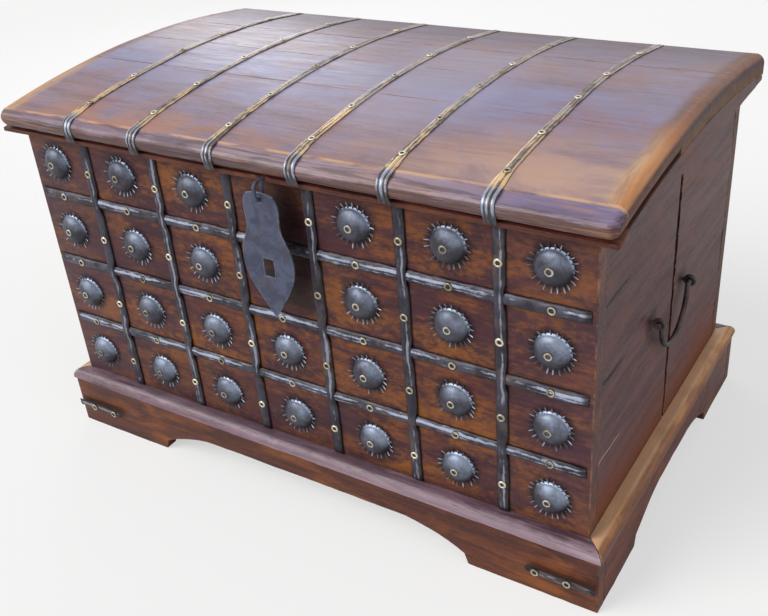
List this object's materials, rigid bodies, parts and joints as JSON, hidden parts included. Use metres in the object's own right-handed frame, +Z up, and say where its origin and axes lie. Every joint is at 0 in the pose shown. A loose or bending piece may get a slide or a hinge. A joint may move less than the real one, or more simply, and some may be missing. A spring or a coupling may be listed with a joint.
{
  "type": "dowry chest",
  "caption": "Iron-bound wooden dowry chest with a shallow arched hinged lid, domed bosses and straps, a hanging hasp, end handles and a bracket-foot plinth.",
  "frame": {"origin": "centre of the bounding box on the floor plane, under the feet", "axes": "+Z up, X along the chest, the front with the hasp faces -Y, +X is the right-hand end seen from the front"},
  "size_m": [1.058, 0.6892, 0.6652],
  "materials": {
    "carcass_wood": "oiled dark hardwood, worn gloss",
    "lid_wood": "oiled dark hardwood, worn gloss",
    "plinth_wood": "oiled dark hardwood, worn gloss",
    "inner_wood": "bare aged hardwood",
    "strap_iron": "worn forged iron",
    "lid_strap_iron": "worn forged iron",
    "boss_iron": "satin pressed iron",
    "nail_brass": "aged brass",
    "hasp_iron": "matt forged iron",
    "handle_iron": "rusty forged iron",
    "hinge_iron": "dark forged iron"
  },
  "bodies": {
    "carcass": {"back_board_lower": "carcass_wood", "back_board_upper": "carcass_wood", "boss_nails": "nail_brass", "bosses_row_1": "boss_iron", "bosses_row_2": "boss_iron", "bosses_row_3": "boss_iron", "bosses_row_4": "boss_iron", "bottom_boards": "inner_wood", "corner_blocks": "inner_wood", "corner_irons": "strap_iron", "end_board_left_front": "carcass_wood", "end_board_left_rear": "carcass_wood", "end_board_right_front": "carcass_wood", "end_board_right_rear": "carcass_wood", "front_board_lower": "carcass_wood", "front_board_upper": "carcass_wood", "front_nails": "nail_brass", "handle_eyes": "handle_iron", "hinge_lower_leaves": "hinge_iron", "hinge_lower_nails": "hinge_iron", "hinge_pins": "hinge_iron", "horizontal_strap_1": "strap_iron", "horizontal_strap_2": "strap_iron", "horizontal_strap_3": "strap_iron", "plinth_back": "plinth_wood", "plinth_front": "plinth_wood", "plinth_left": "plinth_wood", "plinth_moulding_back": "plinth_wood", "plinth_moulding_front": "plinth_wood", "plinth_moulding_left": "plinth_wood", "plinth_moulding_right": "plinth_wood", "plinth_right": "plinth_wood", "vertical_strap_1": "strap_iron", "vertical_strap_2": "strap_iron", "vertical_strap_3": "strap_iron", "vertical_strap_4": "strap_iron", "vertical_strap_5": "strap_iron", "vertical_strap_6": "strap_iron"},
    "lid": {"hasp_staple": "hasp_iron", "hinge_upper_leaves": "hinge_iron", "hinge_upper_nails": "hinge_iron", "lid_back_rail": "lid_wood", "lid_board_1": "lid_wood", "lid_board_2": "lid_wood", "lid_board_3": "lid_wood", "lid_board_4": "lid_wood", "lid_end_left": "lid_wood", "lid_end_right": "lid_wood", "lid_front_rail": "lid_wood", "lid_nails": "nail_brass", "lid_ribs": "inner_wood", "lid_strap_1": "lid_strap_iron", "lid_strap_2": "lid_strap_iron", "lid_strap_3": "lid_strap_iron", "lid_strap_4": "lid_strap_iron", "lid_strap_5": "lid_strap_iron", "lid_strap_6": "lid_strap_iron"},
    "hasp": {"hasp": "hasp_iron"},
    "handle_left": {"handle_bail_left": "handle_iron"},
    "handle_right": {"handle_bail_right": "handle_iron"}
  },
  "joints": [
    {"name": "lid_hinge", "type": "hinge", "parent": "carcass", "child": "lid", "pos_m": [0, 0.31493, 0.593], "axis": [-1, 0, 0], "range_deg": [0, 100]},
    {"name": "hasp_swing", "type": "hinge", "parent": "lid", "child": "hasp", "pos_m": [0.014, -0.33337, 0.5785], "axis": [-1, 0, 0], "range_deg": [-8, 90]},
    {"name": "handle_left_swing", "type": "hinge", "parent": "carcass", "child": "handle_left", "pos_m": [-0.512, -0.01388, 0.356], "axis": [0, 1, 0], "range_deg": [-5, 175]},
    {"name": "handle_right_swing", "type": "hinge", "parent": "carcass", "child": "handle_right", "pos_m": [0.512, -0.01388, 0.356], "axis": [0, -1, 0], "range_deg": [-5, 175]}
  ]
}
